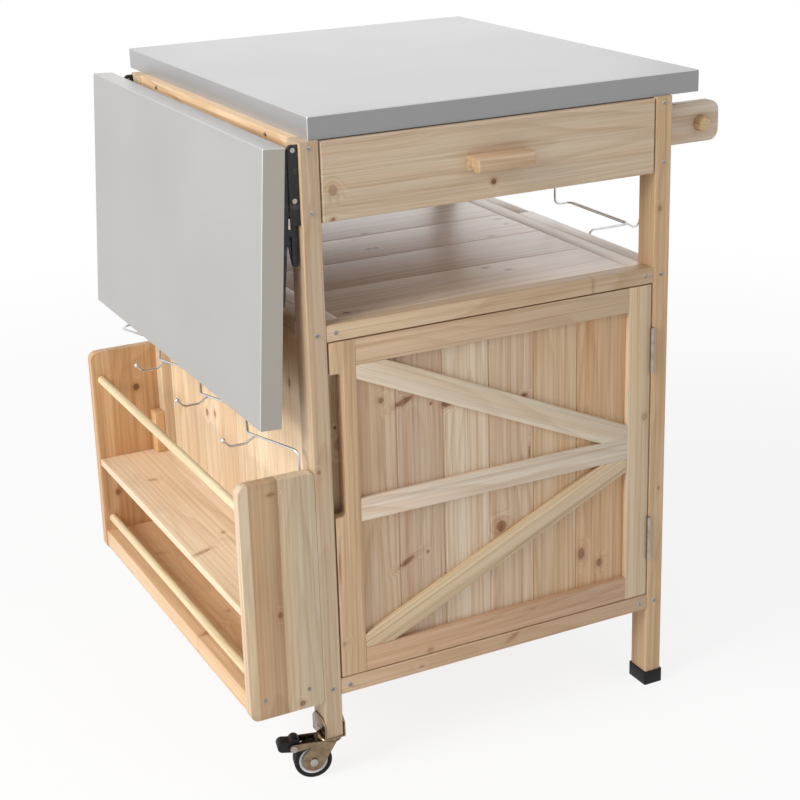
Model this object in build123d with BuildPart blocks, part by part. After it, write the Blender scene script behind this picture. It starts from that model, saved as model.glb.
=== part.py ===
from build123d import *
from math import acos, atan2, cos, degrees, hypot, radians, sin
import os

os.makedirs("parts", exist_ok=True)

# Overall sizes in millimetres. X runs to the right along the front, Y to the back, Z up.
# The origin is on the floor, under the middle of the cart's outline.
total_height = 870.0
frame_width = 522.0
frame_depth = 600.0

# Legs
leg_width = 25.0
leg_depth = 36.0
leg_round = 2.0
caster_height = 61.0
cap_wall = 2.0
cap_base = 3.0
cap_height = 20.0

# Worktop and drop leaf
top_thickness = 28.0
top_width = 553.0
top_depth = 639.0
top_setback = 6.0
top_left_inset = 14.0
sheet = 1.0
sheet_round = 1.5
leaf_length = 343.0
leaf_tilt = radians(3.7)
leaf_pivot_out = 7.0
leaf_pivot_drop = 8.0
leaf_overlap = 3.0

# Aprons and drawer
apron_height = 100.0
apron_thickness = 18.0
apron_inset = 2.0
front_gap = 1.5
drawer_front_thickness = 16.0
drawer_length = 460.0
drawer_side_thickness = 12.0
drawer_side_height = 75.0
drawer_bottom_thickness = 6.0
drawer_groove = 6.0
runner_web = 11.0
runner_ledge = 8.0
slide_gap = 0.5
handle_length = 84.0
handle_height = 18.0
handle_reach = 28.0
handle_taper = 2.0
handle_round = 2.5
handle_groove = 6.0
handle_groove_out = 11.0

# Open shelf
shelf_top = 617.4
shelf_rail_height = 21.4
shelf_rail_depth = 22.0
shelf_board = 12.4
shelf_strip = 26.0
shelf_board_count = 5
board_gap = 0.5
rail_joint = 346.0
rail_step = 1.5
ledger = 18.0

# Cabinet
bottom_rail_top = 142.0
bottom_rail_height = 23.0
bottom_rail_depth = 20.0
wall_thickness = 9.0
back_inset = 6.0
wall_board = 66.0
groove_size = 2.4
cleat = 16.0
notch_cleat = 32.0
cleat_setback = 26.0
rear_cleat_depth = 30.0
floor_thickness = 12.0

# Door
door_gap = 2.0
door_end_gap = 1.5
door_thickness = 16.0
stile_width = 35.0
door_rail = 33.5
middle_rail = 31.0
brace_width = 33.0
panel_recess = 7.0
first_groove = 56.0
door_board = 66.5
notch_length = 189.0
notch_depth = 15.0
notch_round = 6.0
notch_middle = 90.5
hinge_length = 64.0
hinge_leaf = 0.9
hinge_depth = 14.0
knuckle_radius = 2.5
pin_radius = 1.2
running = 0.05
knuckle_gap = 0.3
hinge_heights = (229.5, 503.5)
catch_height = 28.0
catch_width = 11.0
strike = 1.0
catch_gap = 0.6

# Bottle rack on the left
rack_reach = 101.0
rack_bottom = 114.0
rack_below_leaf = 61.2
rack_board = 15.0
rack_round_out = 12.0
rack_round_in = 6.0
rack_shelf = 11.0
rack_low_shelf = 146.0
rack_shelf_share = 0.472
rack_lip = 26.0
rack_lip_thickness = 14.0
rack_shelf_setback = 2.0
dowel_radius = 6.0
dowel_setback = 14.0
dowel_above_shelf = 20.0
dowel_below_top = 43.0
dowel_seat = 8.0
rack_cleat_width = 15.0
rack_cleat_height = 65.0

# Wire rails
wire = 1.7
hook_rail_below_leaf = 37.2
hook_rail_in = 12.0
hook_rail_out = 42.0
hook_rail_first = 107.0
hook_rail_past = 5.0
hook_count = 3
hook_tail = 58.0
wire_bend = 9.0
hook_wire = 1.5
hook_fall = 15.0
hook_flat = 20.0
hook_rise = 9.0
hook_dip = 8.0
hook_tip = 2.0
hook_before = 14.0
ball = 3.2
clip_width = 12.0
clip_depth = 5.0
bag_rail_height = 621.0
bag_rail_near = 194.0
bag_rail_far = 350.0
bag_rail_reach = 69.0
bag_rail_drop = 42.0
bag_tail_drop = 17.0
bag_bar = 2.7
bag_flange = 3.5
bag_hook_fall = 13.0
bag_hook_flat = 7.0
bag_hook_rise = 6.0
bag_hook_bend = 3.0

# Towel bar on the right
towel_reach = 101.0
towel_board = 16.0
towel_below_top = 21.0
towel_tall = 53.5
towel_round = 14.0
towel_bar_out = 71.0
towel_bar_drop = 49.0
towel_bar_radius = 9.5
towel_bar_play = 0.3
towel_bar_end = 12.5
towel_bar_chamfer = 2.0

# Folding brackets of the leaf
plate = 2.0
plate_gap = 0.5
bracket_setback = 4.0
bracket_width = 24.0
wall_arm_length = 98.0
leaf_arm_length = 188.0
leaf_flange_end = 3.0
pivot_boss = 6.0
pivot_pin = 2.0
brace_drop = 60.0
lower_link = 77.0
brace_out = 99.0
link_half = 3.8
rivet = 1.8
rivet_head = 3.0

# Casters
caster_turns = (radians(14.0), radians(194.0))
mount_plate = 2.0
mount_depth = 40.0
ear_height = 30.0
ear_chamfer = 9.0
race_radius = 16.0
race_top_radius = 12.0
race_height = 4.6
king_pin = 4.5
king_head = 7.5
king_head_height = 3.0
fork_plate = 2.0
fork_gap = 0.4
fork_back = 8.0
fork_front = 20.0
cheek_round = 15.0
cheek_drop = 2.5
cheek_ear = 5.5
wheel_radius = 25.0
wheel_width = 18.0
tyre_edge = 1.5
hub_radius = 19.0
hub_width = 16.0
hub_rim = 3.0
hub_recess = 2.0
trail = 24.0
side_gap = 1.5
axle = 3.9
axle_head = 5.5
axle_head_height = 2.0
brake_bolt = 2.5
brake_head = 4.5
brake_out = 49.0
pedal_half = 9.0
pedal_lobe = 7.0
pedal_lobes = ((-2.0, 5.0), (14.0, 1.7))

# Screw heads
screw_radius = 3.2
screw_height = 0.9
screw_inset = 12.0
screw_below_top = 8.0
screw_above_apron = 15.0
rack_screw_inset = 20.0

# Limits that follow from the sizes above
half_width = frame_width / 2
leg_inside = half_width - leg_width
under_top = total_height - top_thickness
front_y = -(top_setback + top_depth - handle_reach) / 2
apron_bottom = under_top - apron_height
apron_out = half_width - apron_inset
apron_in = apron_out - apron_thickness
rear_leg = frame_depth - leg_depth
shelf_rail_bottom = shelf_top - shelf_rail_height
bottom_rail_bottom = bottom_rail_top - bottom_rail_height
wall_out = leg_inside + wall_thickness
leg_middle = half_width - leg_width / 2
pivot_z = under_top - leaf_pivot_drop
leaf_bottom = pivot_z - (leaf_length - leaf_overlap) * cos(leaf_tilt) + leaf_pivot_drop * sin(leaf_tilt)
rack_top = leaf_bottom - rack_below_leaf
rack_shelf_tops = (rack_low_shelf, rack_bottom + (rack_top - rack_bottom) * rack_shelf_share)
dowel_heights = (rack_shelf_tops[0] + dowel_above_shelf, rack_top - dowel_below_top)
hook_rail_height = leaf_bottom - hook_rail_below_leaf
hook_rail_pitch = (frame_depth + hook_rail_past - hook_rail_first) / hook_count
towel_top = under_top - towel_below_top
towel_bottom = towel_top - towel_tall
towel_bar_height = under_top - towel_bar_drop


def deep(near, far):
    """Limits along Y, counted from the front of the legs."""
    return (front_y + near, front_y + far)


def span(side, inner, outer):
    """Limits along X on the left side (-1) or the right side (1)."""
    return (min(side * inner, side * outer), max(side * inner, side * outer))


def bar(x_span, y_span, z_span, mode=Mode.ADD):
    """Adds a rectangular bar between the given limits to the open part."""
    with Locations((sum(x_span) / 2, sum(y_span) / 2, sum(z_span) / 2)):
        Box(x_span[1] - x_span[0], y_span[1] - y_span[0], z_span[1] - z_span[0], mode=mode)


def rod(start, end, radius, mode=Mode.ADD):
    """Adds a round rod between two points to the open part."""
    along = Vector(end) - Vector(start)
    with BuildSketch(Plane(origin=start, z_dir=along), mode=Mode.PRIVATE) as section:
        Circle(radius)
    extrude(section.sketch, amount=along.length, dir=along.normalized(), mode=mode)


def wire_run(points, radius, bend):
    """Adds a round wire bent along the points to the open part."""
    with BuildLine(mode=Mode.PRIVATE) as path:
        FilletPolyline(*points, radius=bend)
    with BuildSketch(Plane(origin=path.line @ 0, z_dir=path.line % 0), mode=Mode.PRIVATE) as section:
        Circle(radius)
    sweep(section.sketch, path=path.line)


def save(builder, label):
    builder.part.label = label
    export_step(builder.part, f"parts/{label}.step")


# Four legs, sawn from planed pine with eased corners
legs = (
    ("leg_front_left", -1, 0.0),
    ("leg_rear_left", -1, rear_leg),
    ("leg_front_right", 1, 0.0),
    ("leg_rear_right", 1, rear_leg),
)
for label, side, near in legs:
    foot = caster_height if side < 0 else cap_base
    with BuildPart() as leg:
        bar(span(side, leg_inside, half_width), deep(near, near + leg_depth), (foot, under_top))
        fillet(leg.edges().filter_by(Axis.Z), leg_round)
    save(leg, label)

# Plastic caps under the two right legs
with BuildPart() as foot_caps:
    for near in (0.0, rear_leg):
        cap_x = (leg_inside - cap_wall, half_width + cap_wall)
        bar(cap_x, deep(near - cap_wall, near + leg_depth + cap_wall), (0, cap_height))
    fillet(foot_caps.edges().filter_by(Axis.Z), cap_wall)
    for near in (0.0, rear_leg):
        bar((leg_inside, half_width), deep(near, near + leg_depth), (cap_base, cap_height), Mode.SUBTRACT)
save(foot_caps, "foot_caps")

# Aprons between the legs under the top
with BuildPart() as side_aprons:
    for side in (-1, 1):
        bar(span(side, apron_in, apron_out), deep(leg_depth, rear_leg), (apron_bottom, under_top))
    lower = side_aprons.edges().filter_by(Axis.Y).group_by(Axis.Z)[0]
    fillet(lower, leg_round)
save(side_aprons, "side_aprons")

with BuildPart() as apron_rear:
    rear_face = frame_depth - apron_inset
    bar((-leg_inside, leg_inside), deep(rear_face - apron_thickness, rear_face), (apron_bottom, under_top))
    fillet(apron_rear.edges().filter_by(Axis.X).group_by(Axis.Z)[0], leg_round)
save(apron_rear, "apron_rear")

# Worktop: a board core inside a folded steel sheet
top_x = (top_left_inset - half_width, top_left_inset - half_width + top_width)
top_y = deep(top_setback, top_setback + top_depth)
core_x = (top_x[0] + sheet, top_x[1] - sheet)
core_y = (top_y[0] + sheet, top_y[1] - sheet)
with BuildPart() as top_sheet:
    bar(top_x, top_y, (under_top, total_height))
    fillet(top_sheet.edges().filter_by(Axis.Z) + top_sheet.faces().sort_by(Axis.Z)[-1].edges(), sheet_round)
    bar(core_x, core_y, (under_top, total_height - sheet), Mode.SUBTRACT)
save(top_sheet, "top_sheet")

with BuildPart() as top_core:
    bar(core_x, core_y, (under_top, total_height - sheet))
save(top_core, "top_core")

# Drawer runners: an upright web on each side apron and a ledge under the drawer side
web_in = apron_in - runner_web
drawer_half = web_in - 2 * slide_gap
drawer_in = drawer_half - drawer_side_thickness
ledge_top = apron_bottom + 2 * slide_gap + runner_ledge
with BuildPart() as drawer_runners:
    for side in (-1, 1):
        runner = [
            (side * apron_in, apron_bottom + leg_round),
            (side * apron_in, ledge_top + drawer_side_height / 2),
            (side * web_in, ledge_top + drawer_side_height / 2),
            (side * web_in, ledge_top),
            (side * drawer_in, ledge_top),
            (side * drawer_in, apron_bottom + leg_round),
        ]
        with BuildSketch(Plane.XZ.offset(-front_y - leg_depth)):
            with BuildLine():
                Polyline(*runner, close=True)
            make_face()
        extrude(amount=-(rear_leg - leg_depth))
save(drawer_runners, "drawer_runners")

# Drawer: front, sides, back and bottom, with a bar handle
drawer_bottom_z = ledge_top + slide_gap
drawer_top_z = drawer_bottom_z + drawer_side_height
drawer_front_x = leg_inside - front_gap
drawer_rear = drawer_front_thickness + drawer_length
plywood_z = (drawer_bottom_z + drawer_groove, drawer_bottom_z + drawer_groove + drawer_bottom_thickness)
with BuildPart() as drawer_front:
    front_z = (apron_bottom + front_gap, under_top - front_gap)
    bar((-drawer_front_x, drawer_front_x), deep(0, drawer_front_thickness), front_z)
    fillet(drawer_front.faces().sort_by(Axis.Y)[0].edges(), leg_round)
save(drawer_front, "drawer_front")

with BuildPart() as drawer_sides:
    side_y = deep(drawer_front_thickness, drawer_rear)
    for side in (-1, 1):
        bar(span(side, drawer_in, drawer_half), side_y, (drawer_bottom_z, drawer_top_z))
        bar(span(side, drawer_in, drawer_in + drawer_groove), side_y, plywood_z, Mode.SUBTRACT)
save(drawer_sides, "drawer_sides")

with BuildPart() as drawer_back:
    bar(
        (-drawer_in, drawer_in),
        deep(drawer_rear - drawer_side_thickness, drawer_rear),
        (plywood_z[1], drawer_top_z),
    )
save(drawer_back, "drawer_back")

with BuildPart() as drawer_bottom:
    plywood_x = drawer_in + drawer_groove
    bar((-plywood_x, plywood_x), deep(drawer_front_thickness, drawer_rear), plywood_z)
save(drawer_bottom, "drawer_bottom")

with BuildPart() as drawer_handle:
    handle_z = (apron_bottom + under_top) / 2
    for reach, shrink in ((0.0, 0.0), (handle_reach, handle_taper)):
        with BuildSketch(Plane.XZ.offset(-front_y + reach)):
            with Locations((0, handle_z)):
                Rectangle(handle_length - 2 * shrink, handle_height - shrink)
    loft()
    rod(
        (-handle_length, front_y - handle_groove_out, handle_z - handle_height / 2),
        (handle_length, front_y - handle_groove_out, handle_z - handle_height / 2),
        handle_groove,
        Mode.SUBTRACT,
    )
    fillet(drawer_handle.faces().sort_by(Axis.Y)[0].edges(), handle_round)
save(drawer_handle, "drawer_handle")

# Open shelf: boards between two end strips, rails all round, ledgers below
shelf_z = (shelf_top - shelf_board, shelf_top)
shelf_y = (shelf_rail_depth, frame_depth - shelf_rail_depth)
with BuildPart() as shelf_boards:
    step = (shelf_y[1] - shelf_y[0]) / shelf_board_count
    for number in range(shelf_board_count):
        near = shelf_y[0] + number * step
        board_x = (shelf_strip - leg_inside, leg_inside - shelf_strip)
        bar(board_x, deep(near, near + step - board_gap), shelf_z)
    for side in (-1, 1):
        strip_x = span(side, leg_inside - shelf_strip + board_gap, leg_inside)
        bar(strip_x, deep(*shelf_y), shelf_z)
    fillet(shelf_boards.edges().filter_by(Axis.X).group_by(Axis.Z)[-1], leg_round / 2)
save(shelf_boards, "shelf_boards")

with BuildPart() as shelf_rails:
    for near in (0.0, frame_depth - shelf_rail_depth):
        rail_y = deep(near, near + shelf_rail_depth)
        bar((-leg_inside, leg_inside), rail_y, (shelf_rail_bottom, shelf_top))
    long_edges = shelf_rails.edges().filter_by(Axis.X)
    fillet(long_edges.group_by(Axis.Y)[0] + long_edges.group_by(Axis.Y)[-1], leg_round)
save(shelf_rails, "shelf_rails")

with BuildPart() as shelf_side_rails:
    bar(span(-1, leg_inside, half_width), deep(leg_depth, rear_leg), (shelf_rail_bottom, shelf_top))
    bar(span(1, leg_inside, half_width), deep(leg_depth, rail_joint), (shelf_rail_bottom, shelf_top))
    bar(
        span(1, leg_inside, half_width),
        deep(rail_joint + board_gap, rear_leg),
        (shelf_rail_bottom, shelf_top - rail_step),
    )
    side_edges = shelf_side_rails.edges().filter_by(Axis.Y)
    fillet(side_edges.group_by(Axis.X)[0] + side_edges.group_by(Axis.X)[-1], leg_round)
save(shelf_side_rails, "shelf_side_rails")

# Ledgers that carry the shelf and bearers that carry the cabinet floor
ledger_bottom = shelf_z[0] - shelf_board
floor_bottom = bottom_rail_top - floor_thickness
with BuildPart() as ledgers:
    for side in (-1, 1):
        ledger_x = span(side, leg_inside - ledger, leg_inside)
        bar(ledger_x, deep(leg_depth, rear_leg), (ledger_bottom, shelf_z[0]))
        bar(ledger_x, deep(leg_depth, rear_leg), (bottom_rail_bottom, floor_bottom))
save(ledgers, "ledgers")

# Bottom rails round the cabinet floor
with BuildPart() as bottom_rails:
    rail_z = (bottom_rail_bottom, bottom_rail_top)
    for near in (0.0, frame_depth - bottom_rail_depth):
        bar((-leg_inside, leg_inside), deep(near, near + bottom_rail_depth), rail_z)
    for side in (-1, 1):
        bar(span(side, leg_inside, half_width), deep(leg_depth, rear_leg), rail_z)
    fillet(bottom_rails.edges().filter_by(Axis.X).group_by(Axis.Y)[0], leg_round)
save(bottom_rails, "bottom_rails")

with BuildPart() as cabinet_floor:
    floor_y = deep(bottom_rail_depth, frame_depth - bottom_rail_depth)
    bar((-leg_inside, leg_inside), floor_y, (floor_bottom, bottom_rail_top))
save(cabinet_floor, "cabinet_floor")

# Cabinet walls and back: upright boards with a bevelled groove at every joint
with BuildPart() as side_walls:
    for side in (-1, 1):
        with BuildSketch(Plane.XY.offset(bottom_rail_top)):
            with Locations((side * (leg_inside + wall_thickness / 2), front_y + frame_depth / 2)):
                Rectangle(wall_thickness, rear_leg - leg_depth)
            groove_y = leg_depth + wall_board
            while groove_y < rear_leg - wall_board / 2:
                with Locations(
                    (side * leg_inside, front_y + groove_y),
                    (side * wall_out, front_y + groove_y),
                ):
                    Rectangle(groove_size, groove_size, rotation=45, mode=Mode.SUBTRACT)
                groove_y += wall_board
        extrude(amount=shelf_rail_bottom - bottom_rail_top)
save(side_walls, "side_walls")

back_far = frame_depth - back_inset
with BuildPart() as back_panel:
    with BuildSketch(Plane.XY.offset(bottom_rail_top)):
        with Locations((0, front_y + back_far - wall_thickness / 2)):
            Rectangle(2 * leg_inside, wall_thickness)
        groove_x = wall_board - leg_inside
        while groove_x < leg_inside - wall_board / 2:
            with Locations(
                (groove_x, front_y + back_far - wall_thickness),
                (groove_x, front_y + back_far),
            ):
                Rectangle(groove_size, groove_size, rotation=45, mode=Mode.SUBTRACT)
            groove_x += wall_board
    extrude(amount=shelf_rail_bottom - bottom_rail_top)
save(back_panel, "back_panel")

# Upright cleats in the cabinet corners hold the wall boards to the legs; the wide one backs the notch
back_near = back_far - wall_thickness
cleat_z = (bottom_rail_top, ledger_bottom)
with BuildPart() as corner_cleats:
    for side, wide in ((-1, notch_cleat), (1, cleat)):
        bar(span(side, leg_inside - wide, leg_inside), deep(cleat_setback, cleat_setback + cleat), cleat_z)
        cleat_x = span(side, leg_inside - cleat, leg_inside)
        bar(cleat_x, deep(back_near - rear_cleat_depth, back_near), cleat_z)
save(corner_cleats, "corner_cleats")

# Door: frame, middle rail and two slanting braces over grooved boards
door_x = leg_inside - door_gap
door_z = (bottom_rail_top + door_end_gap, shelf_rail_bottom - door_end_gap)
door_middle = (door_z[0] + door_z[1]) / 2
panel_x = door_x - stile_width
panel_z = (door_z[0] + door_rail, door_z[1] - door_rail)
with BuildPart() as door_stiles:
    with BuildSketch(Plane.XZ.offset(-front_y)):
        for side in (-1, 1):
            with Locations((side * (door_x - stile_width / 2), door_middle)):
                Rectangle(stile_width, door_z[1] - door_z[0])
        with Locations((-door_x, door_middle + notch_middle)):
            RectangleRounded(2 * notch_depth, notch_length, notch_round, mode=Mode.SUBTRACT)
    extrude(amount=-door_thickness)
    front_edges = door_stiles.faces().sort_by(Axis.Y)[:2].edges()
    fillet(front_edges.filter_by(Axis.Z).group_by(Axis.X)[0], leg_round / 2)
save(door_stiles, "door_stiles")

with BuildPart() as door_rails:
    bar((-panel_x, panel_x), deep(0, door_thickness), (panel_z[1], door_z[1]))
    bar((-panel_x, panel_x), deep(0, door_thickness), (door_z[0], panel_z[0]))
    middle_z = (door_middle - middle_rail / 2, door_middle + middle_rail / 2)
    bar((-panel_x, panel_x), deep(0, panel_recess), middle_z)
    fillet(door_rails.edges().filter_by(Axis.X).group_by(Axis.Y)[0], leg_round / 2)
save(door_rails, "door_rails")

# Each brace lies along a diagonal of its half of the door and is cut to fit the corners
with BuildPart() as door_braces:
    half_tall = panel_z[1] - middle_z[1]
    diagonal = hypot(2 * panel_x, half_tall)
    lean = degrees(atan2(half_tall, 2 * panel_x))
    for turn in (-1, 1):
        with BuildSketch(Plane.XZ.offset(-front_y)):
            with Locations((0, door_middle - turn * (middle_rail + half_tall) / 2)):
                Rectangle(2 * panel_x, half_tall)
                Rectangle(diagonal, brace_width, rotation=turn * lean, mode=Mode.INTERSECT)
        extrude(amount=-panel_recess)
save(door_braces, "door_braces")

with BuildPart() as door_boards:
    with BuildSketch(Plane.XY.offset(panel_z[0])):
        with Locations((0, front_y + (panel_recess + door_thickness) / 2)):
            Rectangle(2 * panel_x, door_thickness - panel_recess)
        groove_x = first_groove - panel_x
        while groove_x < panel_x - door_board / 2:
            with Locations((groove_x, front_y + panel_recess), (groove_x, front_y + door_thickness)):
                Rectangle(groove_size, groove_size, rotation=45, mode=Mode.SUBTRACT)
            groove_x += door_board
    extrude(amount=panel_z[1] - panel_z[0])
save(door_boards, "door_boards")

# Butt hinges: the knuckles stand in front of the gap between door and leg
pin_x = leg_inside - door_gap / 2
pin_y = front_y - knuckle_radius
third = hinge_length / 3
with BuildPart() as hinge_leg_leaves:
    for middle in hinge_heights:
        low = middle - hinge_length / 2
        leaf_x = (leg_inside - hinge_leaf, leg_inside)
        bar(leaf_x, deep(knuckle_gap, hinge_depth), (low, low + hinge_length))
        for start in (low, low + 2 * third):
            bar(leaf_x, (pin_y, front_y + knuckle_gap), (start, start + third))
            rod((pin_x, pin_y, start), (pin_x, pin_y, start + third), knuckle_radius)
            rod((pin_x, pin_y, start), (pin_x, pin_y, start + third), pin_radius, Mode.SUBTRACT)
save(hinge_leg_leaves, "hinge_leg_leaves")

with BuildPart() as hinge_door_leaves:
    for middle in hinge_heights:
        low = middle - hinge_length / 2
        leaf_x = (door_x, door_x + hinge_leaf)
        bar(leaf_x, deep(knuckle_gap, hinge_depth), (low, low + hinge_length))
        start = low + third + knuckle_gap
        stop = low + 2 * third - knuckle_gap
        bar(leaf_x, (pin_y, front_y + knuckle_gap), (start, stop))
        rod((pin_x, pin_y, start), (pin_x, pin_y, stop), knuckle_radius)
        rod((pin_x, pin_y, start), (pin_x, pin_y, stop), pin_radius + running, Mode.SUBTRACT)
save(hinge_door_leaves, "hinge_door_leaves")

# Magnetic catch on the left cleat and its strike plate on the door
catch_x = (-leg_inside + door_gap, -leg_inside + door_gap + catch_width)
catch_z = (panel_z[1], panel_z[1] + catch_height)
with BuildPart() as magnetic_catch:
    bar(catch_x, deep(door_thickness + strike + catch_gap, cleat_setback), catch_z)
    fillet(magnetic_catch.edges().filter_by(Axis.Y), leg_round)
save(magnetic_catch, "magnetic_catch")

with BuildPart() as strike_plate:
    bar(catch_x, deep(door_thickness, door_thickness + strike), catch_z)
    fillet(strike_plate.edges().filter_by(Axis.Y), leg_round)
save(strike_plate, "strike_plate")

# Bottle rack: two end panels, two shelves, two dowels and four cleats
rack_x = (-half_width - rack_reach, -half_width)
dowel_x = rack_x[0] + dowel_setback
rack_near = (0.0, rack_board)
rack_far = (frame_depth - rack_board, frame_depth)
with BuildPart() as rack_panels:
    for near in (rack_near[0], rack_far[0]):
        with BuildSketch(Plane.XZ.offset(-front_y - near)) as panel:
            with Locations((sum(rack_x) / 2, (rack_bottom + rack_top) / 2)):
                Rectangle(rack_reach, rack_top - rack_bottom)
            fillet(panel.vertices().group_by(Axis.X)[0], rack_round_out)
            fillet(panel.vertices().group_by(Axis.X)[-1], rack_round_in)
        extrude(amount=-rack_board)
    for height in dowel_heights:
        rod(
            (dowel_x, front_y + rack_near[1] - dowel_seat, height),
            (dowel_x, front_y + rack_far[0] + dowel_seat, height),
            dowel_radius,
            Mode.SUBTRACT,
        )
save(rack_panels, "rack_panels")

shelf_front = rack_x[0] + rack_shelf_setback
tongue = -wall_out - rack_shelf_setback
with BuildPart() as rack_shelves:
    for top, lip in zip(rack_shelf_tops, (rack_lip, 0.0)):
        board_z = (top - rack_shelf, top)
        bar((shelf_front, rack_x[1]), deep(rack_near[1], rack_far[0]), board_z)
        if lip:
            lip_x = (shelf_front, shelf_front + rack_lip_thickness)
            bar(lip_x, deep(rack_near[1], rack_far[0]), (top - lip, top - rack_shelf))
        else:
            bar((rack_x[1], tongue), deep(leg_depth + board_gap, rear_leg - board_gap), board_z)
    fillet(rack_shelves.edges().filter_by(Axis.Y).group_by(Axis.X)[0], leg_round)
save(rack_shelves, "rack_shelves")

with BuildPart() as rack_dowels:
    for height in dowel_heights:
        rod(
            (dowel_x, front_y + rack_near[1] - dowel_seat, height),
            (dowel_x, front_y + rack_far[0] + dowel_seat, height),
            dowel_radius,
        )
save(rack_dowels, "rack_dowels")

with BuildPart() as rack_cleats:
    for top in rack_shelf_tops:
        for near, far in ((rack_near[1], leg_depth), (rear_leg, rack_far[0])):
            cleat_x = (rack_x[1] - rack_cleat_width, rack_x[1])
            bar(cleat_x, deep(near, far), (top, top + rack_cleat_height))
save(rack_cleats, "rack_cleats")

# Zigzag wire rail with three hooks over the rack
inner_x = -half_width - hook_rail_in
outer_x = -half_width - hook_rail_out
tail_y = rack_near[1] + wire
behind_leg = frame_depth + wire
zigzag = [(inner_x, tail_y, hook_rail_height - hook_tail), (inner_x, tail_y, hook_rail_height)]
bends = [hook_rail_first + number * hook_rail_pitch for number in range(hook_count + 1)]
for bend in bends:
    zigzag.append((outer_x, bend, hook_rail_height))
    if bend != bends[-1]:
        zigzag.append((inner_x, bend + hook_rail_pitch / 2, hook_rail_height))
zigzag.append((outer_x + hook_rail_in, behind_leg + 2 * wire_bend, hook_rail_height))
zigzag.append((-half_width, behind_leg, hook_rail_height))
zigzag.append((-leg_inside, behind_leg, hook_rail_height))
with BuildPart() as hook_rail:
    wire_run([(x, front_y + y, z) for x, y, z in zigzag], wire, wire_bend)
    for bend in bends[:hook_count]:
        hook_y = front_y + bend - hook_before
        root_x = outer_x + hook_before * (hook_rail_out - hook_rail_in) / (hook_rail_pitch / 2)
        hook = [
            (root_x, hook_y, hook_rail_height),
            (root_x - hook_fall, hook_y, hook_rail_height - hook_dip),
            (root_x - hook_fall - hook_flat, hook_y, hook_rail_height - hook_dip),
            (root_x - hook_fall - hook_flat - hook_rise, hook_y, hook_rail_height + hook_tip),
        ]
        wire_run(hook, hook_wire, wire_bend)
        with Locations(hook[-1]):
            Sphere(ball, rotation=(90, 0, 0))
save(hook_rail, "hook_rail")

# Bent wire bag rail on the right: from the top's overhang to the shelf's side rail
bag_out = half_width + bag_rail_reach
bag_back = half_width + bag_rail_drop
bag_in = half_width + wire
bag_wire = [
    (bag_back, bag_rail_far, under_top),
    (bag_back, bag_rail_far, bag_rail_height),
    (bag_out, bag_rail_far, bag_rail_height),
    (bag_out, bag_rail_near, bag_rail_height),
    (bag_in, bag_rail_near, bag_rail_height),
    (bag_in, bag_rail_near, bag_rail_height - bag_tail_drop - wire_bend),
]
with BuildPart() as bag_rail:
    wire_run([(x, front_y + y, z) for x, y, z in bag_wire], wire, wire_bend)
    rod(
        (bag_out, front_y + bag_rail_near + wire_bend, bag_rail_height),
        (bag_out, front_y + bag_rail_far - wire_bend, bag_rail_height),
        bag_bar,
    )
    rod(
        (bag_back, front_y + bag_rail_far, under_top - plate),
        (bag_back, front_y + bag_rail_far, under_top),
        bag_flange,
    )
    hook_y = front_y + bag_rail_near + wire_bend
    hook = [
        (bag_out, hook_y, bag_rail_height),
        (bag_out + bag_hook_fall, hook_y, bag_rail_height - hook_dip),
        (bag_out + bag_hook_fall + bag_hook_flat, hook_y, bag_rail_height - hook_dip),
        (bag_out + bag_hook_fall + bag_hook_flat + bag_hook_rise, hook_y, bag_rail_height),
    ]
    wire_run(hook, hook_wire, bag_hook_bend)
    with Locations(hook[-1]):
        Sphere(ball, rotation=(90, 0, 0))
save(bag_rail, "bag_rail")

# Saddle clips that hold the wire ends to the wood, each with a groove open to the wood
clip_half = clip_width / 2
tail_clip_z = hook_rail_height - hook_tail + clip_width
bag_clip_z = shelf_rail_bottom + clip_half
tail_clip = (tail_clip_z - clip_half, tail_clip_z + clip_half)
leg_clip = (-leg_middle - clip_half, -leg_middle + clip_half)
bag_clip = (bag_clip_z - clip_half / 2, bag_clip_z + clip_half / 2)
with BuildPart() as wire_clips:
    for half, out, mode in ((clip_half, clip_depth, Mode.ADD), (wire, wire, Mode.SUBTRACT)):
        bar((inner_x - half, inner_x + half), deep(rack_near[1], rack_near[1] + out), tail_clip, mode)
        leg_clip_z = (hook_rail_height - half, hook_rail_height + half)
        bar(leg_clip, deep(frame_depth, frame_depth + out), leg_clip_z, mode)
        bag_clip_y = deep(bag_rail_near - half, bag_rail_near + half)
        bar((half_width, half_width + out), bag_clip_y, bag_clip, mode)
    wire_ends = (
        [(inner_x, tail_y, z) for z in tail_clip],
        [(x, behind_leg, hook_rail_height) for x in leg_clip],
        [(bag_in, bag_rail_near, z) for z in bag_clip],
    )
    for ends in wire_ends:
        start, end = [(x, front_y + y, z) for x, y, z in ends]
        rod(start, end, wire, Mode.SUBTRACT)
save(wire_clips, "wire_clips")

# Towel bar: a loose dowel in two rounded brackets on the right apron
bar_x = half_width + towel_bar_out
bracket_x = (apron_out, half_width + towel_reach)
near_bracket = leg_depth + board_gap
far_bracket = rear_leg - board_gap - towel_board
with BuildPart() as towel_brackets:
    for near in (near_bracket, far_bracket):
        with BuildSketch(Plane.XZ.offset(-front_y - near)) as outline:
            with Locations((sum(bracket_x) / 2, (towel_bottom + towel_top) / 2)):
                Rectangle(bracket_x[1] - bracket_x[0], towel_top - towel_bottom)
            fillet(outline.vertices().group_by(Axis.X)[-1], towel_round)
            with Locations((bar_x, towel_bar_height)):
                Circle(towel_bar_radius + towel_bar_play, mode=Mode.SUBTRACT)
        extrude(amount=-towel_board)
save(towel_brackets, "towel_brackets")

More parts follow.
